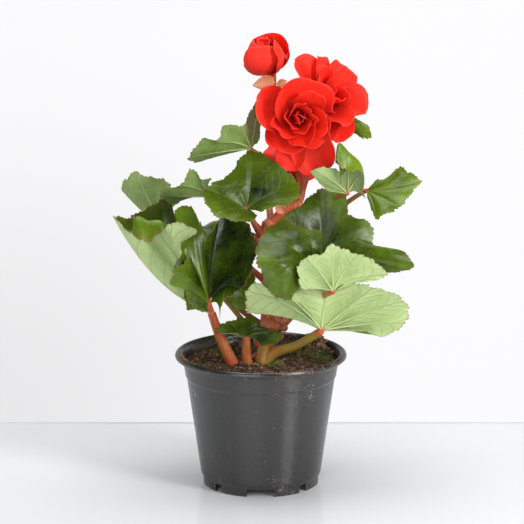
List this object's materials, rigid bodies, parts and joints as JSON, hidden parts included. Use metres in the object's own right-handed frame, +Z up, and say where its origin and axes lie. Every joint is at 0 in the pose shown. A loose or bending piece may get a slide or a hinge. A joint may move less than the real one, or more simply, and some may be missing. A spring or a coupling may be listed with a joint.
{
  "type": "potted begonia",
  "caption": "Tuberous begonia in a round plastic nursery pot, with thick fleshy stems, toothed lopsided leaves and double ruffled flowers on tall stalks.",
  "frame": {"origin": "on the pot's axis, on the surface the pot stands on", "axes": "+Z up along the pot's axis; -Y towards the side the picture shows; +X to the right in it"},
  "size_m": [0.2122, 0.1452, 0.3147],
  "materials": {
    "pot": "satin",
    "soil": "matte",
    "stem": "satin",
    "leaf": "satin",
    "petal": "matte"
  },
  "bodies": {
    "root": {"pot": "pot", "soil": "soil", "stems": "stem", "leaf_upper_left": "leaf", "leaf_top_left": "leaf", "leaf_left_high": "leaf", "leaf_far_left_back": "leaf", "leaf_left": "leaf", "leaf_centre_left": "leaf", "leaf_low": "leaf", "leaf_behind_left": "leaf", "leaf_centre": "leaf", "leaf_right": "leaf", "leaf_right_pale": "leaf", "leaf_front_right": "leaf", "leaf_upper_right": "leaf", "leaf_far_right": "leaf", "leaf_behind_bloom": "leaf", "leaf_back_high": "leaf", "leaf_back_left": "leaf", "leaf_back_right": "leaf", "leaf_back_low_left": "leaf", "leaf_back_low_right": "leaf", "bloom_front": "petal", "bloom_right": "petal", "bloom_low": "petal", "bloom_top": "petal", "bract_left": "stem", "bract_right": "stem", "stipule_low": "stem", "stipule_high": "stem", "bud_small": "petal"}
  },
  "joints": []
}
